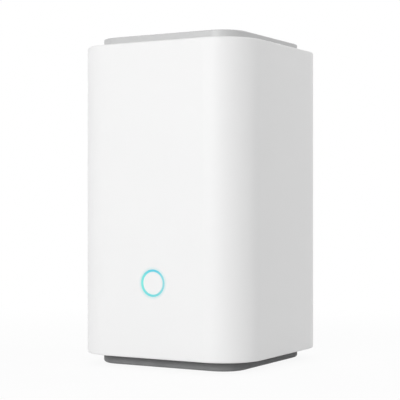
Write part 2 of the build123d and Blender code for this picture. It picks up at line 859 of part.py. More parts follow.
def antenna_deck():
    """The deck over the board, slotted for the leads, with clips for the three antennas."""
    deck_width = 2 * (inner_half - deck_side_gap)
    deck_front_y = front_inner_y + deck_front_gap
    deck_rear_y = back_inner_y - deck_rear_gap
    outline = RectangleRounded(deck_width, deck_rear_y - deck_front_y, frame_corner_radius)
    deck = Pos(0, (deck_front_y + deck_rear_y) / 2, deck_bottom_z) * extrude(outline, deck_thickness)
    slot_x = board_face_x - deck_slot_offset
    deck -= block(slot_x - deck_slot_width / 2, slot_x + deck_slot_width / 2,
                  coax_first_y - deck_slot_margin, speaker_lead_y + deck_slot_margin,
                  deck_bottom_z - overrun, deck_top_z + overrun)
    for turn, x, y in antenna_places():
        for along in (-clip_spread, clip_spread):
            for side in SIGNS:
                face = antenna_thickness / 2 + snap_gap / 2
                low = min(side * face, side * (face + clip_thickness))
                jaw = block(low, low + clip_thickness, along - clip_length / 2, along + clip_length / 2,
                            -deck_thickness / 2, clip_height)
                deck += Pos(x, y, deck_top_z) * Rot(0, 0, turn) * jaw
    return deck


def antenna_places():
    """Turn about Z and place of the left, right and front antennas."""
    side_y = (deck_front_gap - deck_rear_gap) / 2
    return [(0, -antenna_reach, side_y), (0, antenna_reach, side_y), (90, 0, -antenna_reach)]


def antenna(turn, x, y):
    """One flat antenna board on edge on the deck."""
    half = antenna_length / 2
    panel = block(-antenna_thickness / 2, antenna_thickness / 2, -half, half, 0, antenna_height)
    return Pos(x, y, deck_top_z) * Rot(0, 0, turn) * panel


def frame_screws():
    """Four screws up through the base's posts into the frame."""
    one = screw(frame_screw_head_radius, frame_screw_head_height, frame_screw_shank_radius,
                frame_screw_length)
    return [Pos(sx * foot_spread, sy * foot_spread, frame_screw_seat_z) * one for sx, sy in CORNERS]


def main_board():
    """The main board, upright, with its parts on the side that faces -X."""
    board = block(board_face_x, board_rear_x, board_front_y, board_rear_y, board_bottom_z, board_top_z)
    hole = board_screw_shank_radius + shank_gap
    for y, z in board_screw_places() + sink_post_places():
        board -= rod_x(hole, y, z, board_face_x - overrun, board_rear_x + overrun)
    return board


def screws_along_x(places, seat_x, one):
    """Copies of a screw that point along +X, with their heads' undersides at seat_x."""
    return [Pos(seat_x, y, z) * Rot(0, 90, 0) * one for y, z in places]


def board_screws():
    """Four screws through the board into the frame's standoffs."""
    one = screw(board_screw_head_radius, board_screw_head_height, board_screw_shank_radius,
                board_screw_length)
    return screws_along_x(board_screw_places(), board_face_x, one)


def on_board(height, y_centre, z_centre, length_y, length_z):
    """A block that lies on the board's face, by its middle and its size."""
    return block(board_face_x - height, board_face_x, y_centre - length_y / 2, y_centre + length_y / 2,
                 z_centre - length_z / 2, z_centre + length_z / 2)


def processor():
    """The main processor."""
    return on_board(processor_height, processor_y, processor_z, processor_side, processor_side)


def memory_chips():
    """Two memory chips below the processor."""
    return [on_board(memory_height, processor_y + side * memory_spread, memory_z, memory_width, memory_length)
            for side in SIGNS]


def shield_frame():
    """The low metal fence soldered round the processor and its memory."""
    fence = block(board_face_x - shield_height, board_face_x, shield_front_y, shield_rear_y,
                  shield_low_z, shield_high_z)
    fence -= block(board_face_x - shield_height - overrun, board_face_x + overrun,
                   shield_front_y + shield_wall, shield_rear_y - shield_wall,
                   shield_low_z + shield_wall, shield_high_z - shield_wall)
    return fence


def shield_lid():
    """The lid that snaps over the fence."""
    grow = shield_wall + snap_gap
    lid = block(shield_top_x, board_face_x - shield_height + lid_skirt, shield_front_y - grow,
                shield_rear_y + grow, shield_low_z - grow, shield_high_z + grow)
    lid -= block(shield_top_x + lid_thickness, board_face_x, shield_front_y - snap_gap,
                 shield_rear_y + snap_gap, shield_low_z - snap_gap, shield_high_z + snap_gap)
    return lid


def thermal_pad():
    """The soft pad between the lid and the heat sink, over the processor."""
    half = pad_side / 2
    return block(sink_low_x, shield_top_x, processor_y - half, processor_y + half,
                 processor_z - half, processor_z + half)


def sink_post_places():
    """The heat sink's two posts, at opposite corners outside the shield, as (y, z)."""
    return [(shield_front_y - sink_post_inset, shield_low_z - sink_post_inset),
            (shield_rear_y + sink_post_inset, shield_high_z + sink_post_inset)]


def heat_sink():
    """The finned sink: a base over the shield, upright fins and two posts down to the board."""
    base_face = sink_low_x - sink_base
    sink = block(base_face, sink_low_x, shield_front_y - sink_overhang, shield_rear_y + sink_overhang,
                 shield_low_z - sink_overhang, shield_high_z + sink_overhang)
    middle_y = (shield_front_y + shield_rear_y) / 2
    middle_z = (shield_low_z + shield_high_z) / 2
    for row in range(sink_fin_count):
        y = middle_y + sink_fin_span * (row / (sink_fin_count - 1) - 1 / 2)
        sink += block(base_face - sink_fin_height, sink_low_x - sink_base / 2,
                      y - sink_fin_thickness / 2, y + sink_fin_thickness / 2,
                      middle_z - sink_fin_length / 2, middle_z + sink_fin_length / 2)
    for y, z in sink_post_places():
        sink += rod_x(sink_post_radius, y, z, sink_low_x - sink_base / 2, board_face_x)
        sink -= rod_x(sink_screw_shank_radius + shank_gap, y, z, base_face - overrun, board_face_x + overrun)
    return sink


def heat_sink_screws():
    """Two screws through the sink's posts and the board."""
    one = screw(sink_screw_head_radius, sink_screw_head_height, sink_screw_shank_radius, sink_screw_length)
    return screws_along_x(sink_post_places(), sink_low_x - sink_base, one)


def radio_shield():
    """The can over the radio."""
    can = block(board_face_x - radio_shield_height, board_face_x, radio_shield_front_y, radio_shield_rear_y,
                radio_shield_low_z, radio_shield_high_z)
    can -= block(board_face_x - radio_shield_height + shield_wall, board_face_x + overrun,
                 radio_shield_front_y + shield_wall, radio_shield_rear_y - shield_wall,
                 radio_shield_low_z + shield_wall, radio_shield_high_z - shield_wall)
    return can


def radio_chip():
    """The radio chip inside its can."""
    y = (radio_shield_front_y + radio_shield_rear_y) / 2
    z = (radio_shield_low_z + radio_shield_high_z) / 2
    return on_board(radio_chip_height, y, z, radio_chip_side, radio_chip_side)


# Ports on the board's rear edge

def lan_jack_shell():
    """The metal shell of the network jack, open at its mouth."""
    half = lan_width / 2
    rear_y = jack_face_y - lan_depth
    shell = block(board_face_x - lan_height, board_face_x, rear_y, jack_face_y,
                  lan_centre_z - half, lan_centre_z + half)
    return shell - block(board_face_x - lan_height + lan_shell_wall, board_face_x + overrun,
                         rear_y + lan_shell_wall, jack_face_y + overrun,
                         lan_centre_z - half + lan_shell_wall, lan_centre_z + half - lan_shell_wall)


def lan_jack_insert():
    """The plastic body in the shell, with the plug's socket and the notch for its latch."""
    gap = lan_shell_wall + press_gap
    half = lan_width / 2 - gap
    body = block(board_face_x - lan_height + gap, board_face_x, jack_face_y - lan_depth + gap, jack_face_y,
                 lan_centre_z - half, lan_centre_z + half)
    floor_x = lan_axis_x - lan_socket_offset
    socket_half = lan_socket_width / 2
    latch_half = lan_latch_width / 2
    socket_y = jack_face_y - lan_socket_depth
    body -= block(floor_x, floor_x + lan_socket_height, socket_y, jack_face_y + overrun,
                  lan_centre_z - socket_half, lan_centre_z + socket_half)
    return body - block(floor_x - lan_latch_height, floor_x + lan_latch_height, socket_y,
                        jack_face_y + overrun, lan_centre_z - latch_half, lan_centre_z + latch_half)


def lan_contacts():
    """Eight sprung contacts that slope into the socket from its upper wall."""
    ceiling_x = lan_axis_x - lan_socket_offset + lan_socket_height
    mouth_y = jack_face_y - lan_contact_mouth_gap
    contacts = []
    for row in range(lan_contact_count):
        z = lan_centre_z + (row - (lan_contact_count - 1) / 2) * lan_contact_pitch
        tip_x = ceiling_x - lan_contact_drop
        tip_y = mouth_y - lan_contact_length
        outline = Polyline((ceiling_x, mouth_y), (tip_x, tip_y), (tip_x + lan_contact_thickness, tip_y),
                           (ceiling_x, mouth_y - lan_contact_thickness), close=True)
        strip = extrude(make_face(outline), lan_contact_width)
        contacts.append(Pos(0, 0, z - lan_contact_width / 2) * strip)
    return contacts


def lan_transformer():
    """The isolating transformer next to the network jack."""
    return on_board(transformer_height, transformer_rear_y - transformer_length / 2, lan_centre_z,
                    transformer_length, transformer_width)


def dc_jack_body():
    """The supply jack: a block with the plug's bore, the pin's seat and the groove for the spring."""
    half = dc_width / 2
    rear_y = jack_face_y - dc_depth
    body = block(board_face_x - dc_height, board_face_x, rear_y, jack_face_y,
                 dc_centre_z - half, dc_centre_z + half)
    bore_end = jack_face_y - dc_bore_depth
    body -= rod_y(dc_bore_radius, dc_axis_x, dc_centre_z, bore_end, jack_face_y + overrun)
    body -= rod_y(dc_pin_root_radius + press_gap, dc_axis_x, dc_centre_z,
                  bore_end - dc_pin_root_depth, jack_face_y)
    groove_half = dc_spring_width / 2 + press_gap
    wall_x = dc_axis_x - dc_bore_radius
    groove_end = bore_end + dc_spring_length + press_gap
    return body - block(wall_x - dc_spring_groove, dc_axis_x, bore_end, groove_end,
                        dc_centre_z - groove_half, dc_centre_z + groove_half)


def dc_jack_pin():
    """The centre pin with its thicker root and a chamfered tip."""
    bore_end = jack_face_y - dc_bore_depth
    tip_y = jack_face_y - dc_pin_setback
    pin = rod_y(dc_pin_radius, dc_axis_x, dc_centre_z, bore_end, tip_y)
    pin = chamfer(pin.edges().group_by(Axis.Y)[-1], dc_pin_tip)
    return pin + rod_y(dc_pin_root_radius, dc_axis_x, dc_centre_z, bore_end - dc_pin_root_depth, bore_end)


def dc_jack_spring():
    """The leaf that presses on the plug's barrel, in its groove beside the bore."""
    low_x = dc_axis_x - dc_bore_radius - dc_spring_groove
    rear_y = jack_face_y - dc_bore_depth
    half = dc_spring_width / 2
    return block(low_x, low_x + dc_spring_thickness, rear_y, rear_y + dc_spring_length,
                 dc_centre_z - half, dc_centre_z + half)


def power_capacitors():
    """The supply's smoothing capacitors in a row."""
    cans = []
    for row in range(capacitor_count):
        y = capacitor_rear_y - row * capacitor_pitch
        can = rod_x(capacitor_radius, y, capacitor_z, board_face_x - capacitor_height, board_face_x)
        cans.append(fillet(can.edges().group_by(Axis.X)[0], capacitor_round))
    return cans


def power_inductor():
    """The supply's inductor."""
    body = on_board(inductor_height, inductor_y, inductor_z, inductor_side, inductor_side)
    return chamfer(body.edges().filter_by(Axis.X), inductor_chamfer)


def socket_places():
    """Heights of the middles of the card sockets."""
    return [card_centre_z + row * card_pitch for row in range(card_socket_count)]


def card_socket_bases():
    """The plastic floors of the card sockets, each with a stop at its inner end."""
    bases = []
    half = socket_width / 2 - socket_shell - press_gap
    rear_y = jack_face_y - socket_depth
    inner_x = board_face_x - socket_floor - 2 * card_play - card_thickness
    for z in socket_places():
        floor = block(board_face_x - socket_floor, board_face_x, rear_y, jack_face_y, z - half, z + half)
        stop = block(inner_x + press_gap, board_face_x, rear_y, rear_y + socket_stop, z - half, z + half)
        bases.append(floor + stop)
    return bases


def card_socket_shells():
    """The thin metal covers of the card sockets."""
    shells = []
    half = socket_width / 2
    rear_y = jack_face_y - socket_depth
    inner_x = board_face_x - socket_floor - 2 * card_play - card_thickness
    for z in socket_places():
        shell = block(inner_x - socket_shell, board_face_x, rear_y, jack_face_y, z - half, z + half)
        shell -= block(inner_x, board_face_x + overrun, rear_y - overrun, jack_face_y + overrun,
                       z - half + socket_shell, z + half - socket_shell)
        shells.append(shell)
    return shells


def memory_card():
    """The card in the lower socket, with one corner cut at its inner end."""
    outer_y = jack_face_y + card_proud
    inner_y = outer_y - card_length
    half = card_width / 2
    low_x = card_axis_x - card_thickness / 2
    card = block(low_x, low_x + card_thickness, inner_y, outer_y, card_centre_z - half, card_centre_z + half)
    corner = card.edges().filter_by(Axis.X).sort_by(Axis.Y)[:2].sort_by(Axis.Z)[-1]
    return chamfer(corner, card_corner_cut)


def reset_face_y():
    """The rear face of the reset switch's body."""
    return jack_face_y - reset_setback


def reset_switch_body():
    """The reset switch, which faces the pinhole."""
    face = reset_face_y()
    half = reset_width / 2
    body = block(board_face_x - reset_height, board_face_x, face - reset_depth, face,
                 reset_centre_z - half, reset_centre_z + half)
    well_end = face - reset_plunger_depth - reset_travel - travel_margin
    well = reset_plunger_radius + slide_gap
    return body - rod_y(well, reset_axis_x, reset_centre_z, well_end, face + overrun)


def reset_switch_plunger():
    """The plunger that a pin through the hole pushes."""
    face = reset_face_y()
    return rod_y(reset_plunger_radius, reset_axis_x, reset_centre_z,
                 face - reset_plunger_depth, face + reset_plunger_proud)


# Speaker

def speaker_ring(outer, inner, y_low, y_high):
    """A round tube along Y about the speaker's axis."""
    return (rod_y(outer, 0, speaker_centre_z, y_low, y_high)
            - rod_y(inner, 0, speaker_centre_z, y_low - overrun, y_high + overrun))


def speaker_frame():
    """The speaker's square flange and the can that holds the yoke."""
    flange = wall_slab(speaker_side, speaker_side, speaker_corner_radius, speaker_centre_z,
                       speaker_flange_y, speaker_front_y)
    frame = flange + rod_y(speaker_can_radius, 0, speaker_centre_z, speaker_can_y, speaker_flange_y)
    frame -= rod_y(speaker_can_radius - speaker_can_wall, 0, speaker_centre_z,
                   speaker_can_y + speaker_can_wall, speaker_front_y + overrun)
    frame -= rod_y(yoke_radius - yoke_seat, 0, speaker_centre_z, speaker_can_y - overrun, speaker_front_y)
    for sx, sz in CORNERS:
        x = sx * speaker_screw_spread
        z = speaker_centre_z + sz * speaker_screw_spread
        frame -= rod_y(speaker_screw_shank_radius + shank_gap, x, z,
                       speaker_flange_y - overrun, speaker_front_y + overrun)
    return frame


def speaker_yoke():
    """The steel cup that closes the magnet's field round the voice coil."""
    bore = coil_radius + coil_wall + coil_gap
    cup = rod_y(yoke_radius, 0, speaker_centre_z, speaker_can_y - yoke_depth, speaker_can_y)
    return cup - rod_y(bore, 0, speaker_centre_z, speaker_can_y - yoke_depth + yoke_floor,
                       speaker_can_y + overrun)


def speaker_magnet():
    """The disc magnet on the floor of the yoke."""
    floor_y = speaker_can_y - yoke_depth + yoke_floor
    return rod_y(coil_radius - coil_gap, 0, speaker_centre_z, floor_y, floor_y + magnet_height)


def speaker_pole_plate():
    """The pole plate on the magnet."""
    low_y = speaker_can_y - yoke_depth + yoke_floor + magnet_height
    return rod_y(coil_radius - coil_gap, 0, speaker_centre_z, low_y, low_y + pole_height)


def cone_y():
    """The cone's rim and its neck, along Y."""
    rim = speaker_front_y - cone_setback
    return rim, rim - cone_depth


def speaker_cone():
    """The paper cone with its dust cap."""
    rim_y, neck_y = cone_y()
    outer = Pos(0, neck_y, speaker_centre_z) * Rot(-90, 0, 0) * Cone(
        cone_neck_radius, cone_rim_radius, cone_depth, align=FROM_ITS_FOOT)
    inner = Pos(0, cone_thickness, 0) * outer
    cone = outer - inner
    return cone + speaker_cap(neck_y)


def speaker_cap(neck_y):
    """The dust cap: a flat dish over the cone's neck."""
    cap = rod_y(cone_neck_radius, 0, speaker_centre_z, neck_y, neck_y + cone_cap_height)
    hollow = cone_neck_radius - cone_thickness
    hollow_end = neck_y + cone_cap_height - cone_thickness
    return cap - rod_y(hollow, 0, speaker_centre_z, neck_y - overrun, hollow_end)


def speaker_voice_coil():
    """The voice coil on the cone's neck, in the yoke's gap."""
    neck_y = cone_y()[1]
    return speaker_ring(coil_radius + coil_wall, coil_radius, neck_y - coil_length, neck_y)


def speaker_surround():
    """The soft ring that joins the cone's rim to the can."""
    rim_y = cone_y()[0]
    outer = speaker_can_radius - speaker_can_wall - press_gap
    return speaker_ring(outer, cone_rim_radius + surround_gap, rim_y - surround_thickness, rim_y)


def speaker_gasket():
    """The foam ring between the speaker and the rear wall."""
    inner = speaker_seal_radius - speaker_seal_width
    return speaker_ring(speaker_seal_radius, inner, speaker_front_y, back_inner_y)


def speaker_screws():
    """Four screws through the flange into the sleeve's posts."""
    one = screw(speaker_screw_head_radius, speaker_screw_head_height, speaker_screw_shank_radius,
                speaker_screw_length)
    lay = Rot(-90, 0, 0)
    return [Pos(sx * speaker_screw_spread, speaker_flange_y, speaker_centre_z + sz * speaker_screw_spread)
            * lay * one for sx, sz in CORNERS]


def speaker_lead():
    """The lead from the board up through the deck to the speaker's flange."""
    x = board_face_x - coax_socket_height
    low_z = board_top_z - speaker_lead_start_gap
    high_z = speaker_centre_z - speaker_lead_drop
    points = [(x, speaker_lead_y, low_z), (x, speaker_lead_y, high_z), (x, speaker_flange_y, high_z)]
    return tube_along(speaker_lead_radius, points, lead_bend_radius)


# Antenna leads

def coax_rows():
    """Where the three leads meet the board, along Y."""
    return [coax_first_y + row * coax_pitch for row in range(coax_count)]


def antenna_plugs():
    """The snap-on plugs of the antenna leads, on their small sockets."""
    plugs = []
    for y in coax_rows():
        plug = rod_x(coax_plug_radius, y, coax_row_z, board_face_x - coax_socket_height - coax_plug_height,
                     board_face_x - coax_socket_height)
        plugs.append(plug + rod_x(coax_socket_radius, y, coax_row_z,
                                  board_face_x - coax_socket_height, board_face_x))
    return plugs


def antenna_leads():
    """Three thin leads, from the plugs up through the deck's slot and across to the antennas."""
    x = board_face_x - coax_socket_height - coax_plug_height / 2
    low_z = coax_row_z + coax_plug_radius
    face = antenna_reach - antenna_thickness / 2
    left_y, front_y_row, right_y = coax_rows()
    low_run = deck_top_z + lead_low_rise
    high_run = deck_top_z + lead_high_rise
    left = [(x, left_y, low_z), (x, left_y, low_run), (-face, left_y, low_run)]
    right = [(x, right_y, low_z), (x, right_y, low_run), (face, right_y, low_run)]
    front = [(x, front_y_row, low_z), (x, front_y_row, high_run), (x, -face, high_run)]
    return [tube_along(lead_radius, points, lead_bend_radius) for points in (left, right, front)]


def save(name, shape):
    """Write one node: a single solid, or a group of separate ones."""
    if isinstance(shape, list):
        shape = Compound(children=[solid for piece in shape for solid in piece.solids()])
    export_step(shape, os.path.join("parts", name + ".step"))


PIECES = [
    outer_sleeve, top_cover, base_cover, rubber_feet, case_screws, port_panel,
    light_ring, front_button, light_baffle, ring_board, ring_leds, button_switch_body,
    button_switch_plunger, ring_board_screws, ring_board_connector, ring_flex_cable,
    main_flex_connector, inner_frame, frame_screws, main_board, board_screws, processor,
    memory_chips, shield_frame, shield_lid, thermal_pad, heat_sink, heat_sink_screws,
    radio_shield, radio_chip, lan_jack_shell, lan_jack_insert, lan_contacts, lan_transformer,
    dc_jack_body, dc_jack_pin, dc_jack_spring, power_capacitors, power_inductor,
    card_socket_bases, card_socket_shells, memory_card, reset_switch_body,
    reset_switch_plunger, speaker_frame, speaker_yoke, speaker_magnet, speaker_pole_plate,
    speaker_cone, speaker_voice_coil, speaker_surround, speaker_gasket, speaker_screws,
    speaker_lead, antenna_plugs, antenna_leads,
]

os.makedirs("parts", exist_ok=True)
for piece in PIECES:
    save(piece.__name__, piece())
for side, place in zip(("left", "right", "front"), antenna_places()):
    save("antenna_" + side, antenna(*place))
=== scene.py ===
"""Looks of the camera base station: the finish of every part, the lights, floor and camera."""

import json
from math import cos, radians, sin

import bmesh
import bpy
from bpy.props import FloatProperty, FloatVectorProperty, IntProperty, PointerProperty
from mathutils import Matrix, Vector


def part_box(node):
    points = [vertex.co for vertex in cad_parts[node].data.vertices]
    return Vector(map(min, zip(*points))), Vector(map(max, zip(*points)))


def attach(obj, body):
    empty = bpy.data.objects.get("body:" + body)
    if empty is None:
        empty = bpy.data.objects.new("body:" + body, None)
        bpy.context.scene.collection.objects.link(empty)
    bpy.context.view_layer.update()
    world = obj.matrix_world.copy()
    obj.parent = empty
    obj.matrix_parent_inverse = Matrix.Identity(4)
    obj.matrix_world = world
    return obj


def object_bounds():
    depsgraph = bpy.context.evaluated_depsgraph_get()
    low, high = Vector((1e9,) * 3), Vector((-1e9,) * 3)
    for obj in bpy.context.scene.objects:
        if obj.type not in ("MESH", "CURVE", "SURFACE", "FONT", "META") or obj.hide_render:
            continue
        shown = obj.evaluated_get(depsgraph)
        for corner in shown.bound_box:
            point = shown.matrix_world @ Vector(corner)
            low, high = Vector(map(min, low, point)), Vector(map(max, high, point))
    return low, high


bl_info = {
    "name": "Camera Base Station",
    "version": (1, 0, 0),
    "blender": (4, 5, 0),
    "location": "View3D > Sidebar > Station",
    "description": "Finishes, light and camera for a camera base station built round its CAD frame",
    "category": "Object",
}

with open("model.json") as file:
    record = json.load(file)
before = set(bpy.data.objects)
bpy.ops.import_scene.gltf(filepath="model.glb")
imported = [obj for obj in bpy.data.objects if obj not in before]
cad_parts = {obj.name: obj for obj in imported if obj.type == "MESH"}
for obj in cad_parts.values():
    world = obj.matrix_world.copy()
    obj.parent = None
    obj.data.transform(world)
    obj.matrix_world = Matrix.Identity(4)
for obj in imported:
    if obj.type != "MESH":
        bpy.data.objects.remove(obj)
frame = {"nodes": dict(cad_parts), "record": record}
CAD_LOW, CAD_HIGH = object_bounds()

MM = 0.001
AXES = range(3)
PREFIX = "station_"
SMOOTH_ANGLE = radians(32)
SLOTS = {part["node"]: part["material_slot"] for part in frame["record"]["subparts"]}

# The small resistors and capacitors on the main board
SMALL_PART_MM = (1.0, 0.5, 0.35)  # length, width and height
TERMINAL_SHARE = 0.25  # of the length, at each end
TERMINAL_PROUD = 1.04  # height of the ends, as a share of the body's
PART_MARGIN_MM = 1.2  # kept free round the larger parts
BOARD_EDGE_MM = 1.5  # kept free along the board's edges
WANDER_SHARE = 0.22  # how far a part leaves its grid point, as a share of the pitch
WANDER_PHASES = (12.9, 78.2)  # turn the steps of the grid into uneven angles
TOUCH_MM = 0.01  # boxes nearer than this belong to one piece

# The studio: for each light its power's setting, its place and its width
LIGHTS_MM = {
    "key": ("key_power", (-120, -1660, 450), 700),
    "side": ("side_power", (340, 300, 460), 160),
    "rear": ("rear_power", (-950, 1500, 700), 900),
}
FLOOR_RADIUS_MM = 6000
FLOOR_SIDES = 96
SHADOW_REACH_MM = 220  # from the tower's axis to where the floor's shadow is half faded
SHADOW_FADE_MM = 260  # width of that fade
CLIP_MM = (10, 100000)  # the nearest and the furthest that the camera sees


def metres(length_mm):
    """A length in millimetres, in metres."""
    return length_mm * MM


# Shader maths

class Value:
    """A shader socket that takes part in Python expressions. Each operator adds one Math node."""

    def __init__(self, graph, socket):
        self.graph = graph
        self.socket = socket

    def output(self, name):
        """Another output of the same node."""
        return Value(self.graph, self.socket.node.outputs[name])

    def __add__(self, other):
        return self.graph.math("ADD", self, other)

    def __radd__(self, other):
        return self.graph.math("ADD", other, self)

    def __sub__(self, other):
        return self.graph.math("SUBTRACT", self, other)

    def __rsub__(self, other):
        return self.graph.math("SUBTRACT", other, self)

    def __mul__(self, other):
        return self.graph.math("MULTIPLY", self, other)

    def __truediv__(self, other):
        return self.graph.math("DIVIDE", self, other)

    def __abs__(self):
        return self.graph.math("ABSOLUTE", self)

    def over(self, edge, softness):
        """0 below edge, 1 above it, with a soft step of the given width."""
        return self.graph.node(
            "ShaderNodeMapRange", {"interpolation_type": "SMOOTHSTEP"},
            {"Value": self, "From Min": edge - softness / 2, "From Max": edge + softness / 2})


class Graph:
    """The node tree of a material or a world, filled through short calls."""

    def __init__(self, owner):
        owner.use_nodes = True
        self.owner = owner
        self.tree = owner.node_tree

    def link(self, value, socket):
        """Puts a number, a colour or another node's output into a socket."""
        if isinstance(value, Value):
            self.tree.links.new(value.socket, socket)
        else:
            socket.default_value = value

    def node(self, kind, settings=None, sockets=None, output=0):
        """A node by its type: its settings go first, then its sockets, by name or by number."""
        made = self.tree.nodes.new(kind)
        for key, setting in (settings or {}).items():
            setattr(made, key, setting)
        for key, value in (sockets or {}).items():
            self.link(value, made.inputs[key])
        return Value(self, made.outputs[output])

    def math(self, operation, *values):
        """A Math node on numbers or other nodes' outputs."""
        return self.node("ShaderNodeMath", {"operation": operation}, dict(enumerate(values)))

    def mix(self, factor, first, second):
        """A colour between two others."""
        return self.node(
            "ShaderNodeMix", {"data_type": "RGBA"}, {0: factor, 6: first, 7: second}, output=2)

    def mix_shaders(self, factor, first, second, output_node):
        """Shows a shader between two others."""
        both = self.node("ShaderNodeMixShader", {}, {0: factor, 1: first, 2: second})
        self.link(both, self.tree.nodes[output_node].inputs["Surface"])

    def place(self):
        """The point on the object, in metres."""
        return self.node("ShaderNodeTexCoord", output="Object")

    def split(self, vector):
        """The three parts of a vector."""
        across = self.node("ShaderNodeSeparateXYZ", {}, {0: vector}, "X")
        return across, across.output("Y"), across.output("Z")

    def radius(self, across, along):
        """The length of two parts at right angles."""
        return self.math("SQRT", across * across + along * along)

    def stripes(self, across, pitch_mm):
        """Distance from the middle of a stripe: 0 there, 0.5 at the stripe's edges."""
        return abs(self.math("FRACT", across / metres(pitch_mm)) - 0.5)

    def stretched(self, factors):
        """The point on the object, with each axis stretched."""
        return self.node(
            "ShaderNodeVectorMath", {"operation": "MULTIPLY"}, {0: self.place(), 1: factors})

    def noise(self, scale_mm, detail=2.0, roughness=0.5, vector=None):
        """Smooth noise whose blobs are about scale_mm across."""
        return self.node(
            "ShaderNodeTexNoise", {},
            {"Vector": vector or self.place(), "Scale": 1 / metres(scale_mm),
             "Detail": detail, "Roughness": roughness}, "Fac")

    def cells(self, scale_mm):
        """Cells about scale_mm across: the distance from each cell's middle, as a share."""
        return self.node(
            "ShaderNodeTexVoronoi", {"feature": "F1"},
            {"Vector": self.place(), "Scale": 1 / metres(scale_mm)}, "Distance")

    def bump(self, height, depth_mm, strength):
        """A normal from a height between 0 and 1 that stands for depth_mm."""
        return self.node(
            "ShaderNodeBump", {},
            {"Strength": strength, "Distance": metres(depth_mm), "Height": height}, "Normal")

    def seen_or_mirrored(self):
        """1 for rays from the camera and for mirrored or refracted rays, 0 for the rest."""
        camera = self.node("ShaderNodeLightPath", output="Is Camera Ray")
        mirrored = self.math(
            "MAXIMUM", camera.output("Is Glossy Ray"), camera.output("Is Transmission Ray"))
        return self.math("MAXIMUM", camera, mirrored)

    def finish(self, **sockets):
        """Sets the shader's sockets, named with underscores for spaces, and returns the owner."""
        shader = self.tree.nodes["Principled BSDF"]
        for key, value in sockets.items():
            self.link(value, shader.inputs[key.replace("_", " ")])
        return self.owner


def new_finish(name):
    """The graph of a new material."""
    return Graph(bpy.data.materials.new(PREFIX + name))


def shade(colour, share=1.0):
    """A colour with its alpha, lighter or darker by a share."""
    return tuple(min(1.0, share * part) for part in colour) + (1.0,)


WHITE = shade((1.0, 1.0, 1.0))
BLACK = shade((0.0, 0.0, 0.0))


# Finishes

def ring_spill(g, settings):
    """Painted light from the ring: 1 right beside the lit ring on the front, 0 from a little
    further out.
    """
    low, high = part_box("light_ring")
    centre = (low + high) / 2
    across, along, up = g.split(g.place())
    lit_radius = (high.x - low.x) / 2 * settings.ring_reach_share
    reach = settings.ring_spill_reach
    from_ring = abs(g.radius(across - centre.x, up - centre.z) - lit_radius)
    skin, skin_fade = metres(1.0), metres(0.5)
    inside = along.over(low.y + skin, softness=skin_fade)
    return (1 - from_ring.over(reach / 2, softness=reach)) * (1 - inside)


def white_shell(settings):
    """Satin white moulding with a fine spark-eroded grain, with the ring's light painted on it
    beside the lit ring.
    """
    g = new_finish("white_shell")
    grain = g.noise(0.45, detail=3.0, roughness=0.6)
    drift = g.noise(38.0, detail=1.0)
    handled = g.noise(9.0)
    tone = settings.shell_colour
    plain = g.mix(drift, shade(tone, 0.985), shade(tone))
    # Painted light: the ring's glow painted on the shell beside the ring.
    spill = ring_spill(g, settings) * settings.ring_spill
    return g.finish(
        Base_Color=g.mix(spill, plain, shade(settings.ring_bottom)),
        Roughness=0.44 + grain * 0.06 + handled * 0.04,
        Specular_IOR_Level=0.42,
        Normal=g.bump(grain, depth_mm=0.008, strength=0.35),
    )


def grey_plate(settings):
    """Light grey satin moulding, a touch coarser and glossier than the shell."""
    g = new_finish("grey_plate")
    grain = g.noise(0.6, detail=3.0, roughness=0.6)
    drift = g.noise(24.0, detail=1.0)
    tone = settings.plate_colour
    return g.finish(
        Base_Color=g.mix(drift, shade(tone, 0.975), shade(tone)),
        Roughness=0.40 + grain * 0.08,
        Specular_IOR_Level=0.75,
        Normal=g.bump(grain, depth_mm=0.012, strength=0.5),
    )


def dark_base(settings):
    """Dark grey matt moulding with painted shade and light: darker up under the shell, paler
    towards its lower edge.
    """
    g = new_finish("dark_base")
    grain = g.noise(0.7, detail=4.0, roughness=0.65)
    dust = g.noise(12.0, detail=3.0).over(0.56, softness=0.22)
    _, _, up = g.split(g.place())
    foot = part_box("base_cover")[0].z
    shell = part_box("outer_sleeve")[0].z
    # Painted shade and light: darker up under the shell, where it is shaded, and paler towards the
    # lower edge, standing in for light bounced up from the floor.
    painted_low_light = 1 - up.over((foot + shell) / 2, softness=(shell - foot) * 1.2)
    tone = settings.base_colour
    painted_shading = g.mix(painted_low_light, shade(tone), shade(tone, settings.base_rub))
    return g.finish(
        Base_Color=g.mix(dust * 0.3, painted_shading, shade(tone, 1.16)),
        Roughness=0.55 + grain * 0.12,
        Specular_IOR_Level=0.18,
        Normal=g.bump(grain, depth_mm=0.02, strength=0.6),
    )


def panel_grey(settings):
    """The port panel: a grey like the base's, in a finer, flatter moulding."""
    g = new_finish("panel_grey")
    grain = g.noise(0.4, detail=3.0, roughness=0.6)
    wear = g.noise(7.0, detail=4.0, roughness=0.7).over(0.60, softness=0.2)
    tone = settings.panel_colour
    return g.finish(
        Base_Color=g.mix(wear * 0.4, shade(tone), shade(tone, 1.12)),
        Roughness=0.5 + grain * 0.1 + wear * 0.05,
        Specular_IOR_Level=0.35,
        Normal=g.bump(grain, depth_mm=0.012, strength=0.6),
    )


def ring_glow(settings):
    """The lit ring: clear plastic lit from behind, in other tints at each of its four sides."""
    g = new_finish("ring_glow")
    low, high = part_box("light_ring")
    centre = (low + high) / 2
    across, _, up = g.split(g.place())
    reach = (high.x - low.x) * settings.ring_reach_share
    side = (across - centre.x) / reach + 0.5
    rise = (up - centre.z) / reach + 0.5
    tilt = (rise - 0.5) * 2
    level = g.mix(side, shade(settings.ring_left), shade(settings.ring_right))
    upright = g.mix(rise, shade(settings.ring_bottom), shade(settings.ring_top))
    light = g.mix(tilt * tilt, level, upright)
    speckle = g.noise(0.8)
    return g.finish(
        Base_Color=g.mix(0.12, BLACK, light),
        Roughness=0.3 + speckle * 0.1,
        Emission_Color=light,
        Emission_Strength=settings.ring_strength,
        Normal=g.bump(speckle, depth_mm=0.004, strength=0.4),
    )


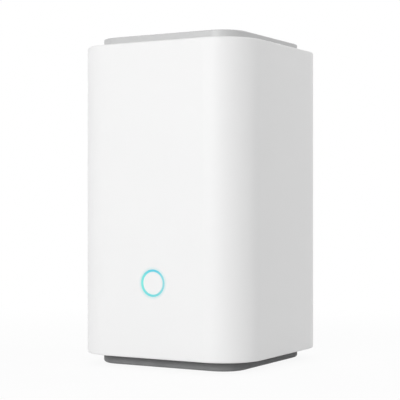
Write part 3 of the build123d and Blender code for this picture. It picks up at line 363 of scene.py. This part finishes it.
def moulded(name, colour, grain_mm, depth_mm=0.012, roughness=0.45, spread=0.06, level=0.4):
    """A plain moulded plastic with its own grain and faint flow marks."""
    g = new_finish(name)
    grain = g.noise(grain_mm, detail=3.0, roughness=0.6)
    grains_per_flow_mark = 22
    flow = g.noise(grain_mm * grains_per_flow_mark)
    return g.finish(
        Base_Color=g.mix(flow * 0.7, shade(colour), shade(colour, 1.06)),
        Roughness=roughness + grain * spread,
        Specular_IOR_Level=level,
        Normal=g.bump(grain, depth_mm, strength=0.6),
    )


def metal(name, colour, roughness, draw=(1.0, 1.0, 1.0), tarnish=0.15):
    """Bare or plated metal with fine marks across the way it was drawn, and cloudy tarnish."""
    g = new_finish(name)
    marks = g.noise(0.35, detail=3.0, roughness=0.6, vector=g.stretched(draw))
    cloud = g.noise(5.0, detail=3.0)
    return g.finish(
        Base_Color=g.mix(cloud, shade(colour), shade(colour, 1.0 - tarnish)),
        Metallic=1.0,
        Roughness=roughness + marks * 0.14 + cloud * 0.06,
        Normal=g.bump(marks, depth_mm=0.006, strength=0.5),
    )


def pitted(name, colour, cell_mm):
    """Open-cell foam or soft rubber: small pits all over, each darker towards its bottom with
    painted shade.
    """
    g = new_finish(name)
    pits = g.cells(cell_mm)
    return g.finish(
        # Painted shade: the colour darkens towards the bottom of each pit.
        Base_Color=g.mix(pits, shade(colour, 0.6), shade(colour)),
        Roughness=0.8 + pits * 0.15,
        Specular_IOR_Level=0.25,
        Normal=g.bump(pits, depth_mm=0.06, strength=0.8),
    )


def circuit_board(name, mask, track, tin):
    """Solder-masked board: fine slanted tracks under the mask, bare patches and tinned dots."""
    g = new_finish(name)
    across, along, up = g.split(g.place())
    lanes = g.stripes(along + up * 0.5 + across, pitch_mm=1.27).over(0.27, softness=0.1)
    routed = g.cells(7.0).over(0.42, softness=0.04)
    tracks = lanes * routed
    dots = (1 - g.cells(2.1).over(0.16, softness=0.05)) * (1 - tracks)
    return g.finish(
        Base_Color=g.mix(dots, g.mix(tracks, shade(mask), shade(track)), shade(tin)),
        Metallic=dots * 0.8,
        Roughness=0.28 + g.noise(0.4) * 0.1,
        Coat_Weight=0.2,
        Normal=g.bump(tracks, depth_mm=0.03, strength=0.6),
    )


def lamp(name, phosphor, body):
    """Small white lamp bodies with a warm phosphor."""
    g = new_finish(name)
    dots = g.noise(0.3)
    return g.finish(
        Base_Color=g.mix(dots, shade(phosphor), shade(body)),
        Roughness=0.35 + dots * 0.1,
        Normal=g.bump(dots, depth_mm=0.01, strength=0.4),
    )


def cone_paper(name, pulp, fibre):
    """Pressed black paper with short fibres."""
    g = new_finish(name)
    fibres = g.noise(0.5, detail=6.0, roughness=0.75)
    return g.finish(
        Base_Color=g.mix(fibres, shade(pulp), shade(fibre)),
        Roughness=0.82 + fibres * 0.12,
        Normal=g.bump(fibres, depth_mm=0.05, strength=0.8),
    )


def flex_amber(name, film, copper):
    """Amber film with copper tracks along the cable."""
    g = new_finish(name)
    _, _, up = g.split(g.place())
    tracks = g.stripes(up, pitch_mm=0.8).over(0.25, softness=0.1)
    return g.finish(
        Base_Color=g.mix(tracks, shade(film), shade(copper)),
        Roughness=0.25 + g.noise(0.6) * 0.1,
        Coat_Weight=0.3,
        Normal=g.bump(tracks, depth_mm=0.02, strength=0.7),
    )


OUTER_FINISHES = {
    "white_shell": white_shell,
    "grey_plate": grey_plate,
    "dark_base": dark_base,
    "panel_grey": panel_grey,
    "ring_glow": ring_glow,
}

INNER_FINISHES = {
    "rubber": (pitted, {"colour": (0.014, 0.014, 0.015), "cell_mm": 0.35}),
    "black_foam": (pitted, {"colour": (0.010, 0.010, 0.011), "cell_mm": 0.6}),
    "pad_grey": (pitted, {"colour": (0.17, 0.23, 0.31), "cell_mm": 0.8}),
    "chip_black": (moulded, {
        "colour": (0.016, 0.016, 0.018), "grain_mm": 0.25, "depth_mm": 0.02,
        "roughness": 0.5, "spread": 0.1, "level": 0.35}),
    "black_plastic": (moulded, {
        "colour": (0.012, 0.012, 0.013), "grain_mm": 0.4, "roughness": 0.42, "spread": 0.1}),
    "connector_cream": (moulded, {
        "colour": (0.72, 0.66, 0.50), "grain_mm": 0.4, "depth_mm": 0.010, "roughness": 0.4}),
    "frame_plastic": (moulded, {
        "colour": (0.27, 0.28, 0.29), "grain_mm": 0.6, "depth_mm": 0.015, "roughness": 0.48}),
    "lead_black": (moulded, {
        "colour": (0.014, 0.014, 0.014), "grain_mm": 0.5, "depth_mm": 0.01,
        "roughness": 0.4, "spread": 0.12}),
    "ferrite": (moulded, {
        "colour": (0.022, 0.022, 0.024), "grain_mm": 0.3, "depth_mm": 0.03,
        "roughness": 0.6, "spread": 0.15}),
    "small_part_brown": (moulded, {
        "colour": (0.10, 0.075, 0.05), "grain_mm": 0.3, "depth_mm": 0.01,
        "roughness": 0.5, "spread": 0.1}),
    "steel": (metal, {"colour": (0.50, 0.51, 0.53), "roughness": 0.30}),
    "tin": (metal, {
        "colour": (0.62, 0.62, 0.60), "roughness": 0.34, "draw": (1.0, 6.0, 1.0),
        "tarnish": 0.10}),
    "aluminium": (metal, {
        "colour": (0.66, 0.67, 0.68), "roughness": 0.36, "draw": (1.0, 1.0, 8.0),
        "tarnish": 0.08}),
    "gold_contact": (metal, {"colour": (0.83, 0.58, 0.20), "roughness": 0.22}),
    "nickel": (metal, {
        "colour": (0.64, 0.63, 0.60), "roughness": 0.26, "draw": (1.0, 1.0, 5.0),
        "tarnish": 0.10}),
    "copper": (metal, {
        "colour": (0.72, 0.30, 0.13), "roughness": 0.28, "draw": (1.0, 9.0, 1.0)}),
    "circuit_board": (circuit_board, {
        "mask": (0.006, 0.075, 0.035), "track": (0.012, 0.125, 0.055),
        "tin": (0.55, 0.56, 0.5)}),
    "lamp": (lamp, {"phosphor": (0.82, 0.80, 0.55), "body": (0.88, 0.87, 0.78)}),
    "cone_paper": (cone_paper, {
        "pulp": (0.010, 0.010, 0.010), "fibre": (0.026, 0.025, 0.024)}),
    "flex_amber": (flex_amber, {"film": (0.52, 0.17, 0.02), "copper": (0.62, 0.28, 0.08)}),
}


def finish_for(name, settings):
    """The material of a finish, made when it is first asked for."""
    made = bpy.data.materials.get(PREFIX + name)
    if made:
        return made
    if name in OUTER_FINISHES:
        return OUTER_FINISHES[name](settings)
    maker, values = INNER_FINISHES[name]
    return maker(name, **values)


def dress(nodes, settings, finish=None):
    """Gives CAD nodes their finish, by their slots if none is named, smooth but for sharp edges."""
    for node in nodes:
        mesh = frame["nodes"][node].data
        mesh.materials.clear()
        mesh.materials.append(finish_for(finish or SLOTS[node], settings))
        mesh.shade_smooth()
        mesh.set_sharp_from_angle(angle=SMOOTH_ANGLE)


# Mesh pieces

def new_object(name, build):
    """An object whose mesh is built by a function on an empty bmesh."""
    mesh = bpy.data.meshes.new(PREFIX + name)
    bm = bmesh.new()
    build(bm)
    bmesh.ops.recalc_face_normals(bm, faces=bm.faces)
    bm.to_mesh(mesh)
    bm.free()
    obj = bpy.data.objects.new(name, mesh)
    bpy.context.scene.collection.objects.link(obj)
    return obj


def add_block(bm, low, high):
    """A box between two corners."""
    middle = (Vector(low) + Vector(high)) / 2
    for vert in bmesh.ops.create_cube(bm, size=1.0)["verts"]:
        vert.co = Vector(vert.co[axis] * (high[axis] - low[axis]) + middle[axis] for axis in AXES)


def corners(points):
    """The low and the high corner of the box round some points."""
    return tuple(Vector(end(point[axis] for point in points) for axis in AXES)
                 for end in (min, max))


def loose_boxes(node):
    """The box of each loose part of a CAD node's mesh."""
    bm = bmesh.new()
    bm.from_mesh(frame["nodes"][node].data)
    left = set(bm.verts)
    boxes = []
    while left:
        front = [left.pop()]
        part = []
        while front:
            vert = front.pop()
            part.append(vert.co.copy())
            for edge in vert.link_edges:
                other = edge.other_vert(vert)
                if other in left:
                    left.remove(other)
                    front.append(other)
        boxes.append(corners(part))
    bm.free()
    return boxes


def boxes_touch(one, other):
    """Whether two boxes, as pairs of corners, meet or nearly do."""
    gap = metres(TOUCH_MM)
    return all(one[0][axis] <= other[1][axis] + gap and one[1][axis] >= other[0][axis] - gap
               for axis in AXES)


def merged(boxes):
    """Boxes joined where they touch, as the frame's mesh splits a solid along its sharp edges."""
    whole = []
    for box in boxes:
        while near := [other for other in whole if boxes_touch(box, other)]:
            for other in near:
                whole.remove(other)
                box = corners((*box, *other))
        whole.append(box)
    return whole


def taken_places(nodes, margin):
    """The rectangles, as (y, z, y, z), that the larger parts take on the board."""
    return [(low.y - margin, low.z - margin, high.y + margin, high.z + margin)
            for node in nodes for low, high in merged(loose_boxes(node))]


def clear_of(rects, y, z, half):
    """Whether a square in the board's plane touches none of the rectangles."""
    return all(y + half < low_y or y - half > high_y or z + half < low_z or z - half > high_z
               for low_y, low_z, high_y, high_z in rects)


def grid_steps(low, high, pitch):
    """Each step of a grid between two ends, as its number and its middle."""
    step = 0
    while low + (step + 0.5) * pitch < high:
        yield step, low + (step + 0.5) * pitch
        step += 1


def spread_places(low, high, pitch, rects, size):
    """Places for small parts on a loose grid, clear of the rectangles: y, z, and the long way."""
    places = []
    for column, middle_y in grid_steps(low.y, high.y, pitch):
        for row, middle_z in grid_steps(low.z, high.z, pitch):
            phase = column * WANDER_PHASES[0] + row * WANDER_PHASES[1]
            wander = sin(phase) * WANDER_SHARE * pitch
            y = middle_y + wander
            z = middle_z - wander
            if clear_of(rects, y, z, size / 2):
                places.append((y, z, (column + row + 1) % 2))
    return places


def small_parts(bm, places, face, terminals):
    """The bodies, or the soldered ends, of small parts that stand on the board's face."""
    length, width, height = (metres(size) for size in SMALL_PART_MM)
    end = TERMINAL_SHARE * length
    if terminals:
        height *= TERMINAL_PROUD
    for y, z, long_way in places:
        low, high = [y, z], [y, z]
        for way, size in ((long_way, length), (1 - long_way, width)):
            low[way] -= size / 2
            high[way] += size / 2
        start, stop = low[long_way], high[long_way]
        if terminals:
            spans = ((start, start + end), (stop - end, stop))
        else:
            spans = ((start + end, stop - end),)
        for span in spans:
            low[long_way], high[long_way] = span
            add_block(bm, (face - height, *low), (face, *high))


# Stage pieces

def floor_disc(bm):
    """A wide flat disc at table height."""
    bmesh.ops.create_circle(
        bm, cap_ends=True, cap_tris=False, segments=FLOOR_SIDES, radius=metres(FLOOR_RADIUS_MM))


def floor_white(lift):
    """White floor: it keeps the shadow near the tower and is the backdrop's white further out."""
    g = new_finish("floor_white")
    across, along, _ = g.split(g.place())
    open_floor = g.radius(across, along).over(
        metres(SHADOW_REACH_MM), softness=metres(SHADOW_FADE_MM))
    grain = g.noise(2.5)
    g.finish(
        Base_Color=g.mix(grain, shade((0.90, 0.90, 0.90)), shade((0.92, 0.92, 0.92))),
        Roughness=0.9 + grain * 0.05,
        Specular_IOR_Level=0.1,
        Normal=g.bump(grain, depth_mm=0.02, strength=0.2),
    )
    painted = Value(g, g.tree.nodes["Principled BSDF"].outputs[0])
    glow = g.node("ShaderNodeEmission", {}, {"Color": WHITE, "Strength": 1.0})
    white = (lift + open_floor * (1 - lift)) * g.seen_or_mirrored()
    g.mix_shaders(white, painted, glow, "Material Output")
    return g.owner


def room_light(strength):
    """Even white light from all round, and a white backdrop for the camera and mirrored rays."""
    world = bpy.data.worlds.new(PREFIX + "room")
    bpy.context.scene.world = world
    g = Graph(world)
    even = g.node("ShaderNodeBackground", {}, {"Color": WHITE, "Strength": strength})
    backdrop = g.node("ShaderNodeBackground", {}, {"Color": WHITE, "Strength": 1.0})
    g.mix_shaders(g.seen_or_mirrored(), even, backdrop, "World Output")


def add_to_scene(name, data, place, facing):
    """A light or camera at a place, turned to look along a direction."""
    obj = bpy.data.objects.new(PREFIX + name, data)
    obj.location = place
    obj.rotation_mode = "QUATERNION"
    obj.rotation_quaternion = facing.to_track_quat("-Z", "Y")
    bpy.context.scene.collection.objects.link(obj)
    return obj


def area_light(name, power, place, aim, size):
    """A square soft box that faces the tower."""
    light = bpy.data.lights.new(PREFIX + name, "AREA")
    light.energy = power
    light.size = size
    add_to_scene(name, light, place, aim - place)


def place_camera(studio):
    """A level camera that looks at the tower's near corner from the front right."""
    camera = bpy.data.cameras.new(PREFIX + "camera")
    camera.lens = studio.lens
    camera.shift_y = studio.lift
    camera.clip_start, camera.clip_end = (metres(length) for length in CLIP_MM)
    forward = Vector((-sin(studio.heading), cos(studio.heading), 0.0))
    right = Vector((cos(studio.heading), sin(studio.heading), 0.0))
    spot = -forward * studio.distance - right * studio.aside
    spot.z = studio.height
    bpy.context.scene.camera = add_to_scene("camera", camera, spot, forward)


# Settings

def tint(name, description, default):
    """A colour setting, in linear light."""
    return FloatVectorProperty(
        name=name, description=description, default=default, subtype="COLOR", min=0.0, max=1.0)


class StationSettings(bpy.types.PropertyGroup):
    """Sizes and colours that a user would change."""

    shell_colour: tint(
        "Shell", "Colour of the tower's white shell and of the button", (0.875, 0.875, 0.875))
    plate_colour: tint(
        "Top plate", "Colour of the light grey plate on top", (0.575, 0.576, 0.578))
    # Painted shade: the base's colour where it is darkest, up under the shell.
    base_colour: tint(
        "Base", "Colour of the dark base, up under the shell", (0.148, 0.149, 0.151))
    # Painted light: how much paler the base is painted at its lower edge.
    base_rub: FloatProperty(
        name="Base painted light", description="How much paler the base is at its lower edge",
        default=2.1, min=1.0, max=3.0)
    panel_colour: tint("Port panel", "Colour of the port panel at the back", (0.200, 0.204, 0.208))
    ring_left: tint("Ring, left", "Light of the ring at its left", (0.19, 0.74, 0.68))
    ring_top: tint("Ring, top", "Light of the ring at its top", (0.07, 0.55, 0.70))
    ring_right: tint("Ring, right", "Light of the ring at its right", (0.25, 0.62, 0.68))
    ring_bottom: tint("Ring, bottom", "Light of the ring at its bottom", (0.16, 0.64, 0.66))
    ring_strength: FloatProperty(
        name="Ring light", description="How strongly the ring glows",
        default=0.95, min=0.0, max=4.0)
    ring_reach_share: FloatProperty(
        name="Ring radius", description="Radius of the ring's lit line, as a share of its flange",
        default=0.76, min=0.1, max=2.0, subtype="FACTOR")
    # Painted light: how strongly the ring's glow is painted on the plastic beside it, and how far
    # it reaches.
    ring_spill: FloatProperty(
        name="Ring spill", description="How strongly the ring tints the plastic beside it",
        default=0.24, min=0.0, max=1.0, subtype="FACTOR")
    ring_spill_reach: FloatProperty(
        name="Ring spill reach", description="How far from the lit line the tint fades out",
        default=metres(1.6), min=metres(0.2), max=metres(10.0), unit="LENGTH")
    chip_pitch: FloatProperty(
        name="Small part pitch", description="Distance between the small parts on the main board",
        default=metres(2.6), min=metres(1.5), max=metres(12.0), unit="LENGTH")
    chip_count: IntProperty(
        name="Small parts", description="Most small parts on the main board",
        default=260, min=0, max=800)


class CameraSettings(bpy.types.PropertyGroup):
    """Where the camera stands and how the studio is lit."""

    heading: FloatProperty(
        name="Heading", description="Turn of the camera about the tower, from straight in front",
        default=radians(29.86), subtype="ANGLE")
    distance: FloatProperty(
        name="Distance", description="From the camera to the tower's axis",
        default=metres(626.7), unit="LENGTH")
    height: FloatProperty(
        name="Height", description="Height of the camera above the table",
        default=metres(79.96), unit="LENGTH")
    aside: FloatProperty(
        name="Aside", description="How far the tower's axis lies right of the line of sight",
        default=metres(1.13), unit="LENGTH")
    lens: FloatProperty(
        name="Lens", description="Focal length in millimetres on a 36 mm sensor",
        default=110.6, min=20.0)
    lift: FloatProperty(
        name="Lift", description="Upward shift of the picture, as a share of its width",
        default=0.0068)
    key_power: FloatProperty(
        name="Key light", description="Power of the large light at the front",
        default=12.15, min=0.0, unit="POWER")
    side_power: FloatProperty(
        name="Side light", description="Power of the small light high at the right",
        default=0.54, min=0.0, unit="POWER")
    rear_power: FloatProperty(
        name="Rear light", description="Power of the light behind the tower, at its left",
        default=7.0, min=0.0, unit="POWER")
    world_strength: FloatProperty(
        name="Room", description="Strength of the even light from the room",
        default=0.517, min=0.0)
    floor_lift: FloatProperty(
        name="Floor lift", description="How far the floor's shadow fades into the backdrop",
        default=0.92, min=0.0, max=1.0, subtype="FACTOR")


# Operators

def finished(nodes, context, finish=None):
    """Dresses nodes and tells Blender that the operator is done."""
    dress(nodes, context.scene.station, finish)
    return {"FINISHED"}


class STATION_OT_enclosure(bpy.types.Operator):
    """Finish the tower's shell, top plate, base, feet and case screws"""

    bl_idname = "station.enclosure"
    bl_label = "Enclosure"
    nodes = ("outer_sleeve", "top_cover", "base_cover", "rubber_feet", "case_screws")

    def execute(self, context):
        return finished(self.nodes, context)


class STATION_OT_port_panel(bpy.types.Operator):
    """Finish the port panel at the back"""

    bl_idname = "station.port_panel"
    bl_label = "Port panel"
    nodes = ("port_panel",)

    def execute(self, context):
        return finished(self.nodes, context, "panel_grey")


class STATION_OT_front_light(bpy.types.Operator):
    """Light the ring on the front and finish the button, its switch and the lamps behind it"""

    bl_idname = "station.front_light"
    bl_label = "Ring and button"
    nodes = (
        "light_ring", "front_button", "light_baffle", "ring_board", "ring_leds",
        "button_switch_body", "button_switch_plunger", "ring_board_screws",
        "ring_board_connector", "ring_flex_cable", "main_flex_connector")

    def execute(self, context):
        return finished(self.nodes, context)


class STATION_OT_inner_frame(bpy.types.Operator):
    """Finish the frame that carries the works, and its screws"""

    bl_idname = "station.inner_frame"
    bl_label = "Inner frame"
    nodes = ("inner_frame", "frame_screws")

    def execute(self, context):
        return finished(self.nodes, context)


class STATION_OT_main_board(bpy.types.Operator):
    """Finish the main board, its chips, shields, heat sink and power parts"""

    bl_idname = "station.main_board"
    bl_label = "Main board"
    nodes = (
        "main_board", "board_screws", "processor", "memory_chips", "shield_frame", "shield_lid",
        "thermal_pad", "heat_sink", "heat_sink_screws", "radio_shield", "radio_chip",
        "power_capacitors", "power_inductor")

    def execute(self, context):
        return finished(self.nodes, context)


class STATION_OT_small_parts(bpy.types.Operator):
    """Set rows of small resistors and capacitors on the main board"""

    bl_idname = "station.small_parts"
    bl_label = "Small board parts"
    neighbours = (
        "processor", "memory_chips", "shield_lid", "radio_shield", "lan_jack_shell",
        "lan_transformer", "dc_jack_body", "power_capacitors", "power_inductor",
        "card_socket_shells", "reset_switch_body", "antenna_plugs", "board_screws",
        "main_flex_connector", "ring_flex_cable", "speaker_lead", "heat_sink_screws")
    pieces = (
        ("board_small_parts", False, "small_part_brown", "chip_black"),
        ("board_small_terminals", True, "tin", "tin"))

    def execute(self, context):
        settings = context.scene.station
        board_low, board_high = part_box("main_board")
        edge = Vector((0.0, metres(BOARD_EDGE_MM), metres(BOARD_EDGE_MM)))
        places = spread_places(
            board_low + edge, board_high - edge, settings.chip_pitch,
            taken_places(self.neighbours, metres(PART_MARGIN_MM)), metres(SMALL_PART_MM[0]))
        places = places[:settings.chip_count]
        for name, terminals, finish, slot in self.pieces:
            obj = new_object(name, lambda bm: small_parts(bm, places, board_low.x, terminals))
            obj.data.materials.append(finish_for(finish, settings))
            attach(obj, "station")
        return {"FINISHED"}


class STATION_OT_sockets(bpy.types.Operator):
    """Finish the network, power and card sockets, the card and the reset switch"""

    bl_idname = "station.sockets"
    bl_label = "Sockets"
    nodes = (
        "lan_jack_shell", "lan_jack_insert", "lan_contacts", "lan_transformer", "dc_jack_body",
        "dc_jack_pin", "dc_jack_spring", "card_socket_bases", "card_socket_shells",
        "memory_card", "reset_switch_body", "reset_switch_plunger")

    def execute(self, context):
        return finished(self.nodes, context)


class STATION_OT_speaker(bpy.types.Operator):
    """Finish the siren speaker and its lead"""

    bl_idname = "station.speaker"
    bl_label = "Speaker"
    nodes = (
        "speaker_frame", "speaker_yoke", "speaker_magnet", "speaker_pole_plate", "speaker_cone",
        "speaker_voice_coil", "speaker_surround", "speaker_gasket", "speaker_screws",
        "speaker_lead")

    def execute(self, context):
        return finished(self.nodes, context)


class STATION_OT_antennas(bpy.types.Operator):
    """Finish the antennas, their leads and plugs"""

    bl_idname = "station.antennas"
    bl_label = "Antennas"
    nodes = ("antenna_left", "antenna_right", "antenna_front", "antenna_leads", "antenna_plugs")

    def execute(self, context):
        return finished(self.nodes, context)


class STATION_OT_stage(bpy.types.Operator):
    """Make the pale floor, the room, the lights and the camera"""

    bl_idname = "station.stage"
    bl_label = "Stage"

    def execute(self, context):
        studio = context.scene.station_camera
        floor = new_object("floor", floor_disc)
        floor.data.materials.append(floor_white(studio.floor_lift))
        room_light(studio.world_strength)
        aim = Vector((0.0, 0.0, CAD_HIGH.z / 2))
        for name, (power, place, width) in LIGHTS_MM.items():
            spot = Vector(metres(length) for length in place)
            area_light(name, getattr(studio, power), spot, aim, metres(width))
        place_camera(studio)
        context.scene.view_settings.view_transform = "Standard"
        return {"FINISHED"}


OPERATORS = (
    STATION_OT_enclosure,
    STATION_OT_port_panel,
    STATION_OT_front_light,
    STATION_OT_inner_frame,
    STATION_OT_main_board,
    STATION_OT_small_parts,
    STATION_OT_sockets,
    STATION_OT_speaker,
    STATION_OT_antennas,
    STATION_OT_stage,
)


class STATION_PT_panel(bpy.types.Panel):
    """The station's operators and settings"""

    bl_idname = "STATION_PT_panel"
    bl_label = "Camera Base Station"
    bl_space_type = "VIEW_3D"
    bl_region_type = "UI"
    bl_category = "Station"

    def draw(self, context):
        column = self.layout.column(align=True)
        for operator in OPERATORS:
            column.operator(operator.bl_idname)
        for group in (context.scene.station, context.scene.station_camera):
            box = self.layout.box()
            for name in group.__annotations__:
                box.prop(group, name)


CLASSES = (StationSettings, CameraSettings, *OPERATORS, STATION_PT_panel)


def register():
    """Adds the settings, the operators and the panel to Blender."""
    for cls in CLASSES:
        bpy.utils.register_class(cls)
    bpy.types.Scene.station = PointerProperty(type=StationSettings)
    bpy.types.Scene.station_camera = PointerProperty(type=CameraSettings)


def unregister():
    """Takes out what register added."""
    del bpy.types.Scene.station_camera
    del bpy.types.Scene.station
    for cls in reversed(CLASSES):
        bpy.utils.unregister_class(cls)


def main():
    """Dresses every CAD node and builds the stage."""
    register()
    dressed = {node for operator in OPERATORS for node in getattr(operator, "nodes", ())}
    if dressed != set(frame["nodes"]):
        unmatched = sorted(dressed ^ set(frame["nodes"]))
        raise ValueError(f"nodes without a finish, or unknown: {unmatched}")
    for operator in OPERATORS:
        group, name = operator.bl_idname.split(".")
        getattr(getattr(bpy.ops, group), name)()


if __name__ == "__main__":
    main()
